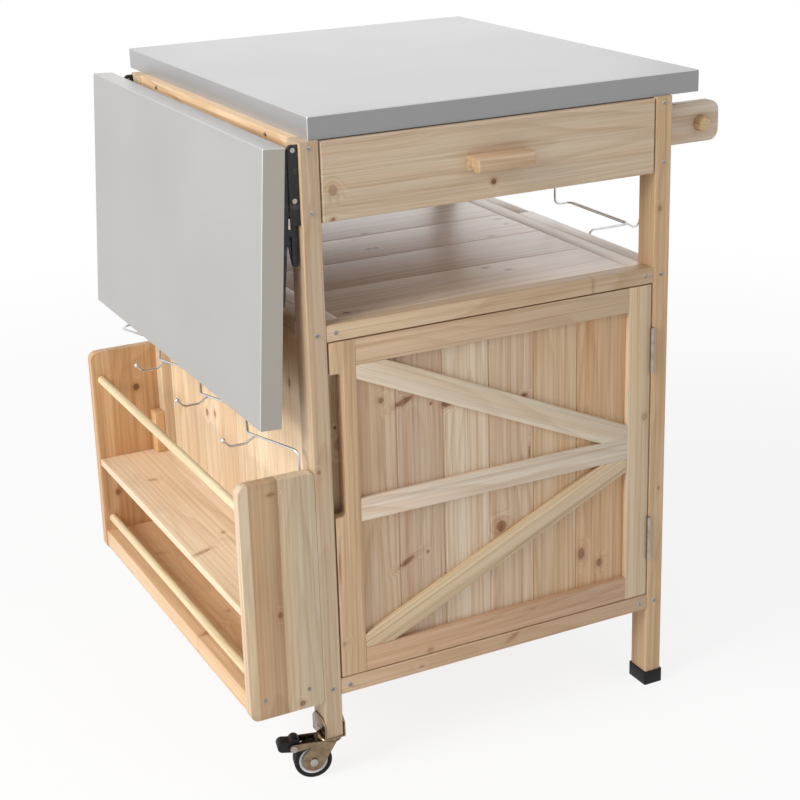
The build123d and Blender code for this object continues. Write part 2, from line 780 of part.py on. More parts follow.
with BuildPart() as towel_bar:
    rod(
        (bar_x, front_y + near_bracket - towel_bar_end, towel_bar_height),
        (bar_x, front_y + far_bracket + towel_board + towel_bar_end, towel_bar_height),
        towel_bar_radius,
    )
    chamfer(towel_bar.edges().filter_by(GeomType.CIRCLE), towel_bar_chamfer)
save(towel_bar, "towel_bar")

# Drop leaf: its own plane starts at the hinge line and runs along the hanging leaf
pivot_x = -half_width - leaf_pivot_out
along = (-sin(leaf_tilt), 0, -cos(leaf_tilt))
outward = (-cos(leaf_tilt), 0, sin(leaf_tilt))
leaf_middle = (top_y[0] + top_y[1]) / 2
leaf_plane = Plane(origin=(pivot_x, leaf_middle, pivot_z), x_dir=along, z_dir=outward)
leaf_u = (-leaf_overlap, leaf_length - leaf_overlap)
leaf_v = (leaf_pivot_drop, leaf_pivot_drop + top_thickness)
with BuildPart(leaf_plane) as leaf_sheet:
    with Locations((sum(leaf_u) / 2, 0, sum(leaf_v) / 2)):
        Box(leaf_length, top_depth, top_thickness)
    upper = leaf_sheet.faces().sort_by(Axis((0, 0, 0), outward))[-1].edges()
    corners = leaf_sheet.edges().filter_by(Axis((0, 0, 0), outward))
    fillet(upper + corners, sheet_round)
    with Locations((sum(leaf_u) / 2, 0, sum(leaf_v) / 2 - sheet / 2)):
        Box(leaf_length - 2 * sheet, top_depth - 2 * sheet, top_thickness - sheet, mode=Mode.SUBTRACT)
save(leaf_sheet, "leaf_sheet")

with BuildPart(leaf_plane) as leaf_core:
    with Locations((sum(leaf_u) / 2, 0, sum(leaf_v) / 2 - sheet / 2)):
        Box(leaf_length - 2 * sheet, top_depth - 2 * sheet, top_thickness - sheet)
save(leaf_core, "leaf_core")

# Folding brackets. The brace is straight when the leaf is up, which sets the upper link,
# and the knee is found from the two link lengths with the leaf hanging.
upper_link = hypot(brace_out, brace_drop) - lower_link
reach_x = brace_out * along[0]
reach_z = brace_drop + brace_out * along[2]
apart = hypot(reach_x, reach_z)
bend_angle = acos((lower_link**2 + apart**2 - upper_link**2) / (2 * lower_link * apart))
knee_angle = atan2(reach_z, reach_x) + bend_angle
brace_z = pivot_z - brace_drop
knee = (pivot_x + lower_link * cos(knee_angle), brace_z + lower_link * sin(knee_angle))
hinge_of_link = (pivot_x + reach_x, brace_z + reach_z)


def layer(turn, depth):
    """Y of a layer of the bracket: turn is 1 at the front leg and -1 at the rear leg."""
    return front_y + (bracket_setback + depth if turn > 0 else frame_depth - bracket_setback - depth)


def flat_link(start, end, half, y, y_end, mode=Mode.ADD):
    """Adds a flat link with round ends between two points of the XZ plane."""
    length = hypot(end[0] - start[0], end[1] - start[1])
    angle = degrees(atan2(end[1] - start[1], end[0] - start[0]))
    with BuildSketch(Plane.XZ.offset(-y), mode=Mode.PRIVATE) as section:
        with Locations(((start[0] + end[0]) / 2, (start[1] + end[1]) / 2)):
            SlotCenterToCenter(length, 2 * half, rotation=angle)
    extrude(section.sketch, amount=y - y_end, mode=mode)


flange_layer = (0.0, plate)
leaf_layer = (plate + plate_gap, 2 * plate + plate_gap)
lower_layer = (2 * (plate + plate_gap), 3 * plate + 2 * plate_gap)
upper_layer = (3 * (plate + plate_gap), 4 * plate + 3 * plate_gap)
pivot = (pivot_x, pivot_z)
brace_pivot = (pivot_x, brace_z)

# The flange's outer corner is round about the leaf's pivot, so the leaf clears it as it swings
flange_out = leaf_pivot_out + pivot_boss
flange_z = (under_top - wall_arm_length, pivot_z + pivot_boss)
with BuildPart() as bracket_wall_arms:
    for turn in (1, -1):
        flange_y = [layer(turn, depth) for depth in flange_layer]
        strip_y = sorted((layer(turn, 0), layer(turn, bracket_width)))
        strip_x = (-half_width - plate, -half_width)
        bar(strip_x, strip_y, (under_top - wall_arm_length, pivot_z - 2 * pivot_boss))
        with BuildSketch(Plane.XZ.offset(-flange_y[0])) as flange:
            with Locations((-half_width - flange_out / 2, sum(flange_z) / 2)):
                Rectangle(flange_out, flange_z[1] - flange_z[0])
            fillet(flange.vertices().group_by(Axis.X)[0], pivot_boss)
        extrude(amount=flange_y[0] - flange_y[1])
        for x, z in (pivot, brace_pivot):
            rod((x, flange_y[0], z), (x, flange_y[1], z), pivot_pin, Mode.SUBTRACT)
save(bracket_wall_arms, "bracket_wall_arms")

# Pins of the door hinges and of the brackets' fixed pivots
with BuildPart() as hinge_pins:
    for middle in hinge_heights:
        low = middle - hinge_length / 2
        rod((pin_x, pin_y, low), (pin_x, pin_y, low + hinge_length), pin_radius)
    for turn in (1, -1):
        ends = ((pivot, leaf_layer[1] + plate_gap / 2), (brace_pivot, lower_layer[1] + plate_gap / 2))
        for (x, z), depth in ends:
            rod((x, layer(turn, -plate / 2), z), (x, layer(turn, 0), z), rivet_head)
            rod((x, layer(turn, 0), z), (x, layer(turn, depth), z), pivot_pin)
save(hinge_pins, "hinge_pins")

arm_top = leaf_pivot_drop
with BuildPart() as bracket_leaf_arms:
    for turn in (1, -1):
        arm_y = [layer(turn, depth) for depth in leaf_layer]
        strip_y = sorted((arm_y[0], layer(turn, bracket_width)))
        arm_plane = Plane(origin=(pivot_x, arm_y[0], pivot_z), x_dir=along, z_dir=(0, -1, 0))
        side = -1 if arm_plane.y_dir.dot(Vector(*outward)) < 0 else 1
        with BuildSketch(arm_plane):
            with BuildLine():
                Polyline(
                    (0, 0),
                    (leaf_arm_length, side * (arm_top - leaf_flange_end)),
                    (leaf_arm_length, side * arm_top),
                    (0, side * arm_top),
                    close=True,
                )
            make_face()
            Circle(pivot_boss)
            with Locations((brace_out, 0)):
                Circle(link_half)
            Circle(pivot_pin + running, mode=Mode.SUBTRACT)
        extrude(amount=arm_y[0] - arm_y[1])
        strip_plane = Plane(origin=(pivot_x, sum(strip_y) / 2, pivot_z), x_dir=along, z_dir=outward)
        strip_start = 2 * pivot_boss
        with BuildSketch(strip_plane.offset(arm_top)):
            with Locations(((strip_start + leaf_arm_length) / 2, 0)):
                Rectangle(leaf_arm_length - strip_start, strip_y[1] - strip_y[0])
        extrude(amount=-plate)
        x, z = hinge_of_link
        rod((x, arm_y[1], z), (x, layer(turn, upper_layer[1] + plate_gap / 2), z), rivet)
save(bracket_leaf_arms, "bracket_leaf_arms")

with BuildPart() as brace_lower_links:
    for turn in (1, -1):
        link_y = [layer(turn, depth) for depth in lower_layer]
        flat_link(brace_pivot, knee, link_half, *link_y)
        x, z = brace_pivot
        rod((x, link_y[0], z), (x, link_y[1], z), pivot_pin + running, Mode.SUBTRACT)
save(brace_lower_links, "brace_lower_links")

with BuildPart() as brace_upper_links:
    for turn in (1, -1):
        link_y = [layer(turn, depth) for depth in upper_layer]
        flat_link(hinge_of_link, knee, link_half, *link_y)
        x, z = hinge_of_link
        rod((x, link_y[0], z), (x, link_y[1], z), rivet + running, Mode.SUBTRACT)
        x, z = knee
        rod((x, link_y[1], z), (x, layer(turn, upper_layer[1] + plate / 2), z), rivet_head)
save(brace_upper_links, "brace_upper_links")

# Casters under the two left legs
mount_base = caster_height - mount_plate
race_bottom = mount_base - race_height
fork_top = race_bottom - fork_gap
fork_under = fork_top - fork_plate
head_top = fork_under - fork_gap
bolt = (brake_out, fork_top - cheek_ear)
caster_middles = [(-leg_middle, front_y + near + leg_depth / 2) for near in (0.0, rear_leg)]
with BuildPart() as caster_mounts:
    for x, y in caster_middles:
        outer_half = leg_width / 2 + mount_plate
        mount_y = (y - mount_depth / 2, y + mount_depth / 2)
        bar((x - outer_half, x + outer_half), mount_y, (mount_base, mount_base + ear_height))
        bar((x - leg_width / 2, x + leg_width / 2), mount_y, (caster_height, under_top), Mode.SUBTRACT)
    chamfer(caster_mounts.edges().filter_by(Axis.X).group_by(Axis.Z)[-1], ear_chamfer)
    for x, y in caster_middles:
        with Locations((x, y, (race_bottom + mount_base) / 2)):
            Cone(race_radius, race_top_radius, race_height)
        rod((x, y, head_top), (x, y, race_bottom), king_pin)
        rod((x, y, head_top - king_head_height), (x, y, head_top), king_head)
save(caster_mounts, "caster_mounts")

plate_in = wheel_width / 2 + side_gap
plate_out = plate_in + fork_plate
for place, turn, (x, y) in zip(("front", "rear"), caster_turns, caster_middles):
    trail_dir = (-cos(turn), sin(turn), 0)
    axle_dir = (sin(turn), cos(turn), 0)
    wheel_plane = Plane(origin=(x, y, 0), x_dir=trail_dir, z_dir=axle_dir)

    def at(along_trail, height, across):
        """Point of the caster: along the trail, up, and across along the axle."""
        return wheel_plane.from_local_coords(Vector(along_trail, height, across))

    with BuildPart() as fork:
        cheek = (trail, wheel_radius + cheek_drop)
        for side in (-1, 1):
            for reach, radius in ((cheek, cheek_round), (bolt, cheek_ear)):
                with BuildSketch(wheel_plane.offset(side * plate_in)):
                    with Locations(((fork_front - fork_back) / 2, fork_top - fork_plate / 2)):
                        Rectangle(fork_front + fork_back, fork_plate)
                    with Locations(reach):
                        Circle(radius)
                    make_hull()
                extrude(amount=side * fork_plate)
        flat = Plane(origin=(x, y, fork_under), x_dir=trail_dir, z_dir=(0, 0, 1))
        with BuildSketch(flat):
            Circle(race_radius)
            with Locations(((fork_front - fork_back) / 2, 0)):
                Rectangle(fork_front + fork_back, 2 * plate_out)
        extrude(amount=fork_plate)
        rod((x, y, fork_under), (x, y, fork_top), king_pin + running, Mode.SUBTRACT)
        rod(at(trail, wheel_radius, -plate_out), at(trail, wheel_radius, plate_out), axle, Mode.SUBTRACT)
        rod(at(*bolt, -plate_out), at(*bolt, plate_out), brake_bolt, Mode.SUBTRACT)
    save(fork, f"caster_fork_{place}")

    with BuildPart() as bolts:
        for t, z, radius, head in ((trail, wheel_radius, axle, axle_head), (*bolt, brake_bolt, brake_head)):
            rod(at(t, z, -plate_out), at(t, z, plate_out), radius)
            for side in (-1, 1):
                rod(at(t, z, side * plate_out), at(t, z, side * (plate_out + axle_head_height)), head)
    save(bolts, f"caster_bolts_{place}")

    wheel_near = at(trail, wheel_radius, -wheel_width / 2)
    wheel_far = at(trail, wheel_radius, wheel_width / 2)
    with BuildPart() as hub:
        rod(at(trail, wheel_radius, -hub_width / 2), at(trail, wheel_radius, hub_width / 2), hub_radius)
        for side in (-1, 1):
            rod(
                at(trail, wheel_radius, side * (hub_width / 2 - hub_recess)),
                at(trail, wheel_radius, side * hub_width / 2),
                hub_radius - hub_rim,
                Mode.SUBTRACT,
            )
        rod(wheel_near, wheel_far, 2 * axle)
        rod(wheel_near, wheel_far, axle + running, Mode.SUBTRACT)
    save(hub, f"wheel_hub_{place}")

    with BuildPart() as tyre:
        rod(wheel_near, wheel_far, wheel_radius)
        chamfer(tyre.edges().filter_by(GeomType.CIRCLE), tyre_edge)
        rod(wheel_near, wheel_far, hub_radius, Mode.SUBTRACT)
    save(tyre, f"tyre_{place}")

    with BuildPart() as pedal:
        for out, up in pedal_lobes:
            with BuildSketch(wheel_plane.offset(-pedal_half)):
                with Locations(bolt, (bolt[0] + out, bolt[1] + up)):
                    Circle(pedal_lobe)
                make_hull()
            extrude(amount=2 * pedal_half)
        rod(at(*bolt, -pedal_half), at(*bolt, pedal_half), brake_bolt + running, Mode.SUBTRACT)
    save(pedal, f"brake_pedal_{place}")

# Heads of the frame's screws: on the legs, the rail ends, the rack's end panels and the caster ears
front_screws = []
for side in (-1, 1):
    for height in (
        under_top - screw_below_top,
        apron_bottom + screw_above_apron,
        (shelf_top + shelf_rail_bottom) / 2,
        (bottom_rail_top + bottom_rail_bottom) / 2,
    ):
        front_screws.append((side * leg_middle, height))
    for height in ((shelf_top + shelf_rail_bottom) / 2, (bottom_rail_top + bottom_rail_bottom) / 2):
        front_screws.append((side * (leg_inside - screw_inset), height))
for x in (rack_x[0] + rack_screw_inset, rack_x[1] - rack_screw_inset):
    front_screws.append((x, rack_shelf_tops[0] - rack_shelf / 2))
ear_x = -leg_middle - leg_width / 2 - mount_plate
ear_z = mount_base + ear_height / 2
with BuildPart() as frame_screws:
    for x, z in front_screws:
        rod((x, front_y - screw_height, z), (x, front_y, z), screw_radius)
        rod((x, front_y + frame_depth, z), (x, front_y + frame_depth + screw_height, z), screw_radius)
    for x, y in caster_middles:
        rod((ear_x - screw_height, y, ear_z), (ear_x, y, ear_z), screw_radius)
save(frame_screws, "frame_screws")
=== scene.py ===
import bpy
import bmesh
from math import atan2, cos, pi, radians, sin
from mathutils import Matrix, Vector


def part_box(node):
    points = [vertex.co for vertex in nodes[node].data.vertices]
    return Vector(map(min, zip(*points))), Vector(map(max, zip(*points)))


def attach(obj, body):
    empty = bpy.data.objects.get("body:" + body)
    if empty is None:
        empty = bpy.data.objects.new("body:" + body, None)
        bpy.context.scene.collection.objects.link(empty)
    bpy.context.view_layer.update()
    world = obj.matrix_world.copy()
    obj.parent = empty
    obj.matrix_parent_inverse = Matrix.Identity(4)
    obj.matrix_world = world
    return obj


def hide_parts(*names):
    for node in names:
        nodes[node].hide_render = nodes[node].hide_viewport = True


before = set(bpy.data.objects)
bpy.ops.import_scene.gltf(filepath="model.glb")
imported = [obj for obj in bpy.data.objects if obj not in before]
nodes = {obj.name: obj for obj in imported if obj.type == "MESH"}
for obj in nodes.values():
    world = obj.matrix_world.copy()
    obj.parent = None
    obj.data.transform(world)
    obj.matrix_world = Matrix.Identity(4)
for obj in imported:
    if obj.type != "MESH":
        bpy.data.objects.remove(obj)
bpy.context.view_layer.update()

# Legs
# Four uprights of planed pine, 25 by 36 mm, with eased corners and a clear satin lacquer.
# They carry everything else: rails are screwed between them and the worktop sits on their ends.


def tone(red, green, blue):
    """A colour as it looks in daylight, 0 to 255, for a shader socket."""
    parts = [part / 255 for part in (red, green, blue)]
    linear = [part / 12.92 if part <= 0.04045 else ((part + 0.055) / 1.055) ** 2.4 for part in parts]
    return (*linear, 1.0)


def grey(value):
    """A plain grey, 0 to 1, for a shader socket."""
    return (value, value, value, 1.0)


def adder(tree, family):
    """A short hand for adding nodes of one family to a tree. Sockets are linked and constants are set."""

    def add(kind, *values, out=0, **settings):
        made = tree.nodes.new(family + kind)
        for key, value in settings.items():
            setattr(made, key, value)
        sockets = values[0] if values and isinstance(values[0], dict) else dict(enumerate(values))
        for key, value in sockets.items():
            if isinstance(value, bpy.types.NodeSocket):
                tree.links.new(value, made.inputs[key])
            elif value is not None:
                made.inputs[key].default_value = value
        return made.outputs[out] if made.outputs else None

    return add


def finish_of(name):
    """A new empty finish, the short hand for its nodes, and the place on the piece in metres."""
    material = bpy.data.materials.new(name)
    material.use_nodes = True
    material.node_tree.nodes.clear()
    add = adder(material.node_tree, "ShaderNode")
    return material, add, add("TexCoord", out="Object")


def noise(add, place, detail, coarse, scale=1.0):
    """Cloudy noise, 0 to 1, over the places given."""
    return add("TexNoise", {"Vector": place, "Scale": scale, "Detail": detail, "Roughness": coarse})


def steps(add, factor, stops, smooth=True):
    """A colour ramp through (place, colour) stops."""
    made = add("ValToRGB", factor)
    ramp = made.node.color_ramp
    ramp.interpolation = "LINEAR" if smooth else "CONSTANT"
    ramp.elements.remove(ramp.elements[1])
    ramp.elements[0].position, ramp.elements[0].color = stops[0]
    for place, colour in stops[1:]:
        ramp.elements.new(place).color = colour
    return made


def mixed(add, factor, first, second, blend="MIX"):
    """Two colours mixed. The Mix node has its factor at 0, its colours at 6 and 7 and its colour out at 2."""
    return add("Mix", {0: factor, 6: first, 7: second}, out=2, data_type="RGBA", blend_type=blend)


def surface(add, look, height, strength, depth):
    """Ends a finish: its look on the shader's sockets, and height as a fine relief of that depth."""
    bump = add("Bump", {"Strength": strength, "Distance": depth, "Height": height})
    add("OutputMaterial", add("BsdfPrincipled", {**look, "Normal": bump}))


def pine(name, grain, tones, seed, centre=(0.0, 0.0), boards=None, pith=(0.012, 0.05), ring=0.0048, tilt=0.02,
         contrast=0.6, knots=(), slope=0.0, rough=0.46, coat=0.0):
    """Planed pine. grain names the axes along, across and through the board, and centre is the board's middle
    across and through. boards gives the axis that glued or laid boards are counted on and where each starts.
    Growth rings lie about a pith off the board. Knots are (along, across, half length, half width, turn,
    darkness)."""
    material, add, spot = finish_of(name)

    def sum_of(one, other):
        return add("Math", one, other, operation="ADD")

    def times(one, other):
        return add("Math", one, other, operation="MULTIPLY")

    # The place of a point in its own board
    if slope:
        spot = add("Mapping", spot, None, (0.0, slope, 0.0))
    split = add("SeparateXYZ", spot).node.outputs
    along, across, through = [split["XYZ".index(axis)] for axis in grain]
    number, middle = 0.0, centre[0]
    if boards:
        counted, starts = split["XYZ".index(boards[0])], boards[1]
        start = starts[0]
        for before, limit in zip(starts, starts[1:]):
            past = add("Math", counted, limit, operation="GREATER_THAN")
            number = sum_of(past, number)
            start = add("Math", past, limit - before, start, operation="MULTIPLY_ADD")
        if boards[0] == grain[1]:
            middle = sum_of(start, (starts[-1] - starts[0]) / len(starts) / 2)
    local = add("Math", across, middle, operation="SUBTRACT")
    deep = add("Math", through, centre[1], operation="SUBTRACT")

    # Each board comes from a place of its own in a long log
    log_length = 9.0
    chance = add("TexWhiteNoise", {"W": sum_of(number, seed)}, out="Color", noise_dimensions="1D")
    luck = add("SeparateXYZ", chance).node.outputs
    in_log = sum_of(along, times(luck[0], log_length))

    def streaks(waves, detail, coarse):
        """Noise drawn out along the grain, by its waves per metre along, across and through."""
        ways = [times(way, rate) for way, rate in zip((in_log, local, deep), waves)]
        return noise(add, add("CombineXYZ", *ways), detail, coarse)

    wander = streaks((2.6, 16.0, 16.0), 2.0, 0.45)
    drift = streaks((1.3, 34.0, 10.0), 2.0, 0.5)
    veins = streaks((2.2, 300.0, 300.0), 3.0, 0.65)
    fibres = streaks((14.0, 820.0, 820.0), 3.0, 0.6)

    # Growth rings, bent by the tree's wander
    deepest_pith, rings_bent = 1.6 * pith[1], 5.0
    pith_across = add("MapRange", luck[1], 0.0, 1.0, -pith[0], pith[0])
    pith_deep = add("MapRange", luck[2], 0.0, 1.0, pith[1], deepest_pith)
    from_pith = add("CombineXYZ", 0.0, sum_of(local, pith_across),
                    sum_of(sum_of(deep, pith_deep), times(in_log, tilt)))
    radius = add("VectorMath", from_pith, out="Value", operation="LENGTH")
    rings = sum_of(times(radius, 1.0 / ring), times(wander, rings_bent))

    # Knots, which push the rings aside and have a dark heart in a brown rim
    dark, rim, ragged = 0.0, 0.0, 0.22
    flat = add("CombineXYZ", along, across, 0.0)
    for where, side, length, width, turn, depth in knots:
        eye = add("Mapping", flat, (where, side, 0.0), (0.0, 0.0, turn), (length, width, 1.0),
                  vector_type="TEXTURE")
        edge = add("MapRange", noise(add, eye, 2.0, 0.5, scale=1.4), 0.0, 1.0, -ragged, ragged)
        far = sum_of(add("VectorMath", eye, out="Value", operation="LENGTH"), edge)
        swell = add("MapRange", far, 0.6, 3.4, 1.7, 0.0, interpolation_type="SMOOTHERSTEP")
        heart = add("MapRange", far, 0.72, 1.08, depth, 0.0, interpolation_type="SMOOTHSTEP")
        halo = add("MapRange", far, 0.9, 2.2, 0.4 * depth, 0.0, interpolation_type="SMOOTHSTEP")
        rings = sum_of(rings, swell)
        dark = add("Math", dark, heart, operation="MAXIMUM")
        rim = add("Math", rim, halo, operation="MAXIMUM")

    # Colour: the board's own tone, darker late wood in each ring, then drift, veins and fibres over it
    white = tone(255, 255, 255)
    base, count = tone(*tones[0]), len(tones)
    if boards and count > 1:
        stops = [(max(0.0, (place - 0.4) / count), tone(*colour)) for place, colour in enumerate(tones)]
        base = steps(add, times(number, 1.0 / count), stops, smooth=False)
    in_ring = add("Math", rings, operation="FRACT")
    late = steps(add, in_ring, ((0.0, grey(0.0)), (0.5, grey(0.18)), (0.86, grey(1.0)), (0.95, grey(0.75)),
                                (1.0, grey(0.0))))
    strength = times(late, add("MapRange", wander, 0.3, 0.75, 0.25 * contrast, contrast))
    colour = mixed(add, strength, base, mixed(add, 1.0, base, tone(206, 180, 146), "MULTIPLY"))
    for pattern, amount, stops in (
            (drift, 0.9, ((0.25, tone(236, 226, 214)), (0.5, white), (0.75, tone(252, 240, 226)))),
            (veins, min(1.0, 1.4 * contrast), ((0.32, tone(222, 204, 184)), (0.56, white))),
            (fibres, 0.7, ((0.3, tone(240, 233, 224)), (0.7, white)))):
        colour = mixed(add, amount, colour, steps(add, pattern, stops), "MULTIPLY")
    if knots:
        colour = mixed(add, rim, colour, mixed(add, 1.0, colour, tone(196, 140, 92), "MULTIPLY"))
        colour = mixed(add, dark, colour, steps(add, in_ring, (
            (0.0, tone(150, 100, 62)), (0.8, tone(102, 64, 38)), (1.0, tone(132, 88, 54)))))

    look = {"Base Color": colour, "Roughness": add("MapRange", fibres, 0.3, 0.7, rough - 0.05, rough + 0.07),
            "Specular IOR Level": 0.42, "Coat Weight": coat, "Coat Roughness": 0.42, "Coat IOR": 2.2}
    relief = sum_of(times(fibres, 0.6), times(late, -0.4))
    surface(add, look, relief, strength=0.16, depth=0.0004)
    return material


def dress(piece, *finishes, second=None):
    """Gives a piece its finishes. second picks the faces, by middle and normal, that take the second one."""
    piece.data.materials.clear()
    for material in finishes:
        piece.data.materials.append(material)
    if second:
        for face in piece.data.polygons:
            face.material_index = int(second(face.center, face.normal))


legs = (("leg_front_left", (212, 191, 165)), ("leg_rear_left", (220, 200, 173)),
        ("leg_front_right", (219, 190, 154)), ("leg_rear_right", (220, 200, 173)))
for place, (leg, tint) in enumerate(legs):
    low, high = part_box(leg)
    middle = (low + high) / 2
    marks = [(0.432, -0.2545, 0.0035, 0.0028, 0.0, 0.5)]
    if leg == "leg_front_right":
        marks = [(0.696, 0.2445, 0.0045, 0.003, 0.0, 0.6), (0.30, 0.252, 0.003, 0.0024, 0.0, 0.5)]
    dress(nodes[leg], pine(leg + " pine", "ZXY", [tint], seed=3.0 + place, centre=(middle.x, middle.y),
                           pith=(0.03, 0.03), ring=0.0040, tilt=0.012, contrast=0.4, knots=marks))

# Foot caps
# Black moulded cups of hard plastic pushed over the ends of the two right legs.
# They bring those legs level with the casters and keep the end grain off wet ground.


def eased(node, body, width=0.0008, segments=2, sharper=35.0):
    """A copy of a sawn, stamped or moulded piece with its sharp edges taken off, standing for that piece."""
    same_point, same_plane, crisp = 2e-6, radians(0.6), radians(32)
    mesh = bpy.data.meshes.new(node + "_eased")
    shape = bmesh.new()
    shape.from_mesh(nodes[node].data)
    bmesh.ops.remove_doubles(shape, verts=shape.verts, dist=same_point)
    bmesh.ops.dissolve_limit(shape, angle_limit=same_plane, verts=shape.verts, edges=shape.edges)
    sharp = [edge for edge in shape.edges if edge.is_manifold and edge.calc_face_angle() > radians(sharper)]
    bmesh.ops.bevel(shape, geom=sharp, offset=width, segments=segments, profile=0.5, affect="EDGES",
                    clamp_overlap=True)
    bmesh.ops.triangulate(shape, faces=[face for face in shape.faces if len(face.verts) > 4])
    shape.to_mesh(mesh)
    shape.free()
    mesh.shade_smooth()
    mesh.set_sharp_from_angle(angle=crisp)
    piece = bpy.data.objects.new(node + "_eased", mesh)
    bpy.context.scene.collection.objects.link(piece)
    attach(piece, body)
    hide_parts(node)
    return piece


def moulded(name, colour, rough):
    """Moulded plastic or rubber: one colour with a fine pebbled skin, rubbed a little lighter in places."""
    material, add, spot = finish_of(name)
    pebble = noise(add, spot, 2.0, 0.55, scale=900.0)
    rubbed = noise(add, spot, 3.0, 0.6, scale=45.0)
    paler = [min(255, part * 1.5 + 14) for part in colour]
    tint = steps(add, rubbed, ((0.42, tone(*colour)), (0.78, tone(*paler))))
    skin = add("MapRange", pebble, 0.25, 0.75, rough - 0.09, rough + 0.09)
    look = {"Base Color": tint, "Roughness": skin, "Specular IOR Level": 0.25}
    surface(add, look, pebble, strength=0.25, depth=0.0002)
    return material


black_plastic = moulded("black moulded plastic", (17, 16, 17), rough=0.5)
dress(eased("foot_caps", "frame", width=0.0012), black_plastic)

# Aprons and drawer runners
# Wide pine boards screwed between the legs under the top, and the L-shaped runners on them that the
# drawer slides along. The left apron shows as a strip above the leaf, and the rear one from behind.
low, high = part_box("side_aprons")
dress(nodes["side_aprons"],
      pine("side apron pine", "YZX", [(251, 226, 192), (216, 186, 148)], seed=11.0,
           centre=((low.z + high.z) / 2, 0.0), boards=("X", (low.x, 0.0))))
dress(nodes["apron_rear"],
      pine("rear apron pine", "XZY", [(220, 192, 154)], seed=12.0, centre=(0.79, 0.28),
           knots=((0.11, 0.80, 0.006, 0.005, 0.0, 0.8), (-0.15, 0.772, 0.004, 0.003, 0.3, 0.7))))
dress(nodes["drawer_runners"], pine("runner pine", "YZX", [(214, 184, 142)], seed=13.0, centre=(0.76, 0.2)))

# Worktop
# A board core wrapped in one folded sheet of satin stainless steel, brushed along its length.
# The sheet is bent down over all four edges and screwed to the aprons from below.


def brushed_sheet(name, along, colour, painted_shade_colour, rough):
    """Stainless sheet brushed along one axis. The edges folded down at front and rear carry a painted shade,
    darker than the face, and the narrow bends between the flat faces carry a painted highlight, brighter than
    the face."""
    material, add, spot = finish_of(name)
    waves = tuple(4.0 if axis == along else 1400.0 for axis in "XYZ")
    lines = noise(add, add("VectorMath", spot, waves, operation="MULTIPLY"), 4.0, 0.62)
    cloud = noise(add, spot, 2.0, 0.5, scale=3.5)
    shaded = [part * 0.955 for part in colour]
    satin = steps(add, lines, ((0.3, tone(*shaded)), (0.7, tone(*colour))))
    worn = steps(add, cloud, ((0.3, grey(0.93)), (0.7, grey(1.0))))
    tint = mixed(add, 1.0, satin, worn, "MULTIPLY")

    square_from = 0.8
    facing = add("SeparateXYZ", add("TexCoord", out="Normal")).node.outputs
    lean = [add("Math", part, operation="ABSOLUTE") for part in facing]
    # Faces that look to the front or rear take the darker edge colour, a painted shade.
    painted_shade_faces = add("Math", lean[1], square_from, operation="GREATER_THAN")
    tint = mixed(add, painted_shade_faces, tint, tone(*painted_shade_colour))
    squarest = add("Math", add("Math", lean[0], lean[1], operation="MAXIMUM"), lean[2], operation="MAXIMUM")
    # The bends between the flat faces take a near white, a painted highlight, and a smoother skin.
    painted_highlight_bends = add("Math", squarest, square_from, operation="LESS_THAN")
    tint = mixed(add, painted_highlight_bends, tint, tone(238, 238, 238))

    brushed = add("MapRange", lines, 0.25, 0.75, rough - 0.06, rough + 0.08)
    smoother_bends = add("Math", painted_highlight_bends, -0.12, brushed, operation="MULTIPLY_ADD")
    look = {"Base Color": tint, "Metallic": 0.8, "Roughness": smoother_bends}
    surface(add, look, lines, strength=0.05, depth=0.0001)
    return material


def pressed_board(name, colour):
    """Sawn edge and face of a pressed wood-chip core."""
    material, add, spot = finish_of(name)
    chips_at = add("VectorMath", spot, (240.0, 240.0, 420.0), operation="MULTIPLY")
    chips = add("SeparateXYZ", add("TexVoronoi", {"Vector": chips_at, "Scale": 1.0}, out="Color"))
    shaded = [part * 0.78 for part in colour]
    flakes = steps(add, chips, ((0.1, tone(*shaded)), (0.9, tone(*colour))))
    surface(add, {"Base Color": flakes, "Roughness": 0.75}, chips, strength=0.3, depth=0.0003)
    return material


core_board = pressed_board("pressed core board", (188, 152, 112))
dress(nodes["top_core"], core_board)
dress(nodes["top_sheet"],
      brushed_sheet("brushed worktop sheet", "X", (190, 190, 191), painted_shade_colour=(147, 147, 148), rough=0.42))

# Drawer
# A solid pine front with eased edges, grooved pine sides, a back and a thin plywood bottom,
# glued into a box that runs on the two runners behind the front. A wooden bar is its handle.
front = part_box("leg_front_left")[0].y
drawer_middle = 0.792
dress(nodes["drawer_front"],
      pine("drawer front pine", "XZY", [(221, 202, 178)], seed=21.4, centre=(drawer_middle, front + 0.008),
           pith=(0.02, 0.035), ring=0.0062, tilt=0.006, contrast=0.4, rough=0.42,
           knots=((-0.0037, 0.7641, 0.0042, 0.0038, 0.0, 0.95), (-0.2205, 0.7819, 0.0062, 0.0075, 0.2, 0.42),
                  (-0.2218, 0.7461, 0.0035, 0.0025, 0.4, 0.8))))
dress(nodes["drawer_sides"],
      pine("drawer side pine", "YZX", [(222, 196, 156), (214, 186, 146)], seed=22.0, centre=(0.79, 0.0),
           boards=("X", (-0.23, 0.0))))
dress(nodes["drawer_back"], pine("drawer back pine", "XZY", [(218, 190, 150)], seed=23.0, centre=(0.79, 0.16)))
dress(nodes["drawer_bottom"],
      pine("drawer bottom ply", "YXZ", [(214, 186, 148)], seed=24.0, centre=(0.0, 0.76), pith=(0.3, 0.01),
           ring=0.012, contrast=0.4, rough=0.6))
handle_centre, sawn_end = (drawer_middle, front - 0.014), 0.7
# The handle's ends are darker partly as end grain and partly as painted shade on the end that faces the left
# lamp.
dress(eased("drawer_handle", "drawer", width=0.0012),
      pine("handle pine", "XZY", [(221, 194, 165)], seed=25.0, centre=handle_centre, pith=(0.01, 0.02),
           ring=0.0036, contrast=0.4, rough=0.5),
      pine("handle end grain and painted shade", "XZY", [(192, 168, 134)], seed=26.0, centre=handle_centre, pith=(0.004, 0.01),
           ring=0.0024, contrast=0.6, rough=0.6),
      second=lambda place, normal: abs(normal.x) > sawn_end)
